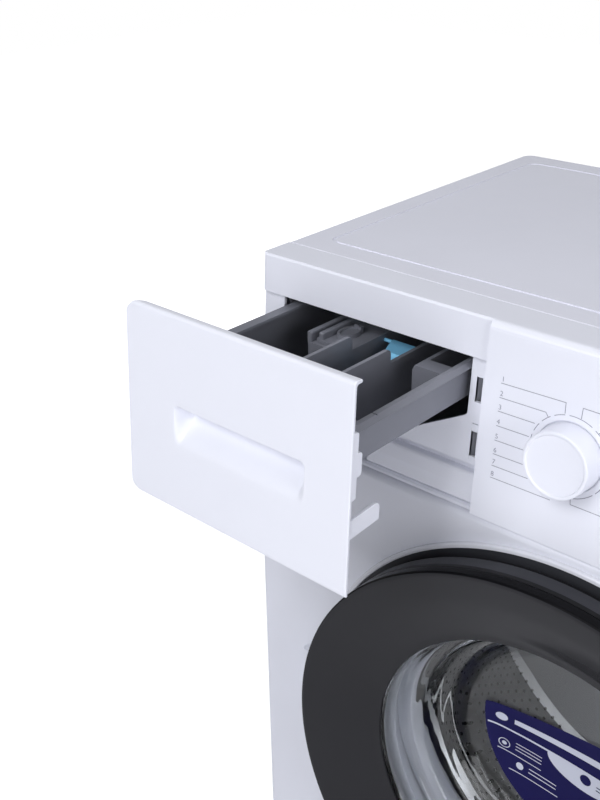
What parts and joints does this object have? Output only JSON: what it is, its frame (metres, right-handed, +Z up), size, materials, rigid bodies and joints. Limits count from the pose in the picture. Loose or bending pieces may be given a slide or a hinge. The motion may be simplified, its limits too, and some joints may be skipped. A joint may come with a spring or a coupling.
{
  "type": "front load washing machine",
  "caption": "Slim front load washing machine with dark round door and domed glass, rotary dial, keys and display, detergent drawer pulled out, turning drum and drain filter.",
  "frame": {"origin": "on the floor, under the middle of the overall length and width with the drawer pulled out", "axes": "+Z up, +Y towards the back, +X to the right as seen from the front"},
  "size_m": [0.595, 0.5556, 0.8533],
  "materials": {
    "white_steel": "satin",
    "white_plastic": "satin",
    "worktop_board": "satin",
    "black_gloss": "gloss",
    "dark_satin": "satin",
    "charcoal_tray": "satin",
    "blue_plastic": "satin",
    "grey_plastic": "matt",
    "display_smoke": "gloss",
    "board_green": "matt",
    "door_glass": "clear",
    "grey_rubber": "matt",
    "black_rubber": "matt",
    "stainless": "brushed",
    "zinc_steel": "satin",
    "cast_aluminium": "matt",
    "concrete_grey": "matt",
    "motor_steel": "satin"
  },
  "bodies": {
    "cabinet": {"left_side_panel": "white_steel", "right_side_panel": "white_steel", "front_panel": "white_steel", "plinth_panel": "white_plastic", "back_panel": "zinc_steel", "back_access_cover": "zinc_steel", "panel_screws": "zinc_steel", "transit_caps": "grey_plastic", "cord_gland": "black_rubber", "base_frame": "grey_plastic", "levelling_feet": "black_rubber", "worktop": "worktop_board", "cross_rail": "zinc_steel", "control_fascia": "white_plastic", "display_window": "display_smoke", "control_board": "board_green", "dial_encoder": "board_green", "dispenser_housing": "grey_plastic", "inlet_valve": "white_plastic", "fill_hose": "black_rubber", "dispenser_hose": "black_rubber", "pressure_switch": "grey_plastic", "tub_front": "grey_plastic", "tub_rear": "grey_plastic", "top_counterweight": "concrete_grey", "suspension_springs": "zinc_steel", "damper_tubes": "grey_plastic", "damper_rods": "grey_plastic", "door_gasket": "grey_rubber", "shaft_bearings": "zinc_steel", "drive_belt": "black_rubber", "drive_motor": "motor_steel", "wash_heater": "zinc_steel", "drain_pump": "grey_plastic", "sump_hose": "black_rubber", "door_bezel": "white_plastic", "door_hinge_bracket": "zinc_steel", "door_lock": "white_plastic"},
    "drawer": {"drawer_front": "white_plastic", "detergent_tray": "charcoal_tray", "siphon_cap": "charcoal_tray"},
    "softener_flap": {"liquid_flap": "blue_plastic"},
    "door": {"door_outer_ring": "black_gloss", "door_inner_frame": "dark_satin", "door_grip": "dark_satin", "door_glass": "door_glass", "door_hinge_arm": "zinc_steel"},
    "latch_hook": {"door_hook": "zinc_steel"},
    "dial": {"dial_knob": "white_plastic"},
    "start_key": {"start_button": "white_plastic"},
    "option_key_left": {"option_button_left": "white_plastic"},
    "option_key_right": {"option_button_right": "white_plastic"},
    "drum": {"wash_drum": "stainless", "drum_lifters": "grey_plastic", "drum_spider": "cast_aluminium", "drum_pulley": "cast_aluminium"},
    "motor_shaft": {"motor_pulley": "zinc_steel"},
    "impeller": {"pump_impeller": "grey_plastic"},
    "lint_filter": {"drain_filter": "dark_satin"},
    "filter_flap": {"filter_cover": "white_plastic"}
  },
  "joints": [
    {"name": "drawer_slide", "type": "slide", "parent": "cabinet", "child": "drawer", "axis": [0, 1, 0], "range_m": [-0.03, 0.1352]},
    {"name": "softener_flap_hinge", "type": "hinge", "parent": "drawer", "child": "softener_flap", "pos_m": [-0.17775, -0.1042, 0.796], "axis": [-1, 0, 0], "range_deg": [0, 32]},
    {"name": "door_hinge", "type": "hinge", "parent": "cabinet", "child": "door", "pos_m": [-0.224, -0.1612, 0.4718], "axis": [0, 0, -1], "range_deg": [0, 148]},
    {"name": "latch_hook_pivot", "type": "hinge", "parent": "door", "child": "latch_hook", "pos_m": [0.19, -0.1547, 0.4718], "axis": [0, 0, -1], "range_deg": [0, 5.5], "stiffness_Nm_per_rad": 1, "springref_deg": -2.86},
    {"name": "dial_turn", "type": "hinge", "parent": "cabinet", "child": "dial", "pos_m": [-0.0164, -0.1378, 0.77413], "axis": [0, -0.9976, 0.0698], "continuous": true},
    {"name": "start_key_press", "type": "slide", "parent": "cabinet", "child": "start_key", "axis": [0, 0.9976, -0.0698], "range_m": [0, 0.0012], "stiffness_N_per_m": 600, "springref_m": -0.002},
    {"name": "option_key_left_press", "type": "slide", "parent": "cabinet", "child": "option_key_left", "axis": [0, 0.9976, -0.0698], "range_m": [0, 0.0012], "stiffness_N_per_m": 600, "springref_m": -0.002},
    {"name": "option_key_right_press", "type": "slide", "parent": "cabinet", "child": "option_key_right", "axis": [0, 0.9976, -0.0698], "range_m": [0, 0.0012], "stiffness_N_per_m": 600, "springref_m": -0.002},
    {"name": "drum_spin", "type": "hinge", "parent": "cabinet", "child": "drum", "pos_m": [0, 0.0578, 0.4718], "axis": [0, 1, 0], "continuous": true},
    {"name": "motor_spin", "type": "hinge", "parent": "cabinet", "child": "motor_shaft", "pos_m": [0.07, 0.2238, 0.14], "axis": [0, 1, 0], "continuous": true},
    {"name": "impeller_spin", "type": "hinge", "parent": "cabinet", "child": "impeller", "pos_m": [0.216, -0.0472, 0.066], "axis": [0, 1, 0], "continuous": true},
    {"name": "lint_filter_turn", "type": "hinge", "parent": "cabinet", "child": "lint_filter", "pos_m": [0.216, -0.1222, 0.066], "axis": [0, 1, 0], "range_deg": [0, 90]},
    {"name": "filter_flap_hinge", "type": "hinge", "parent": "cabinet", "child": "filter_flap", "pos_m": [0.216, -0.1382, 0.038], "axis": [1, 0, 0], "range_deg": [0, 85]}
  ],
  "couplings": [
    {"joint": "motor_spin", "follows": "drum_spin", "ratio": 13}
  ]
}
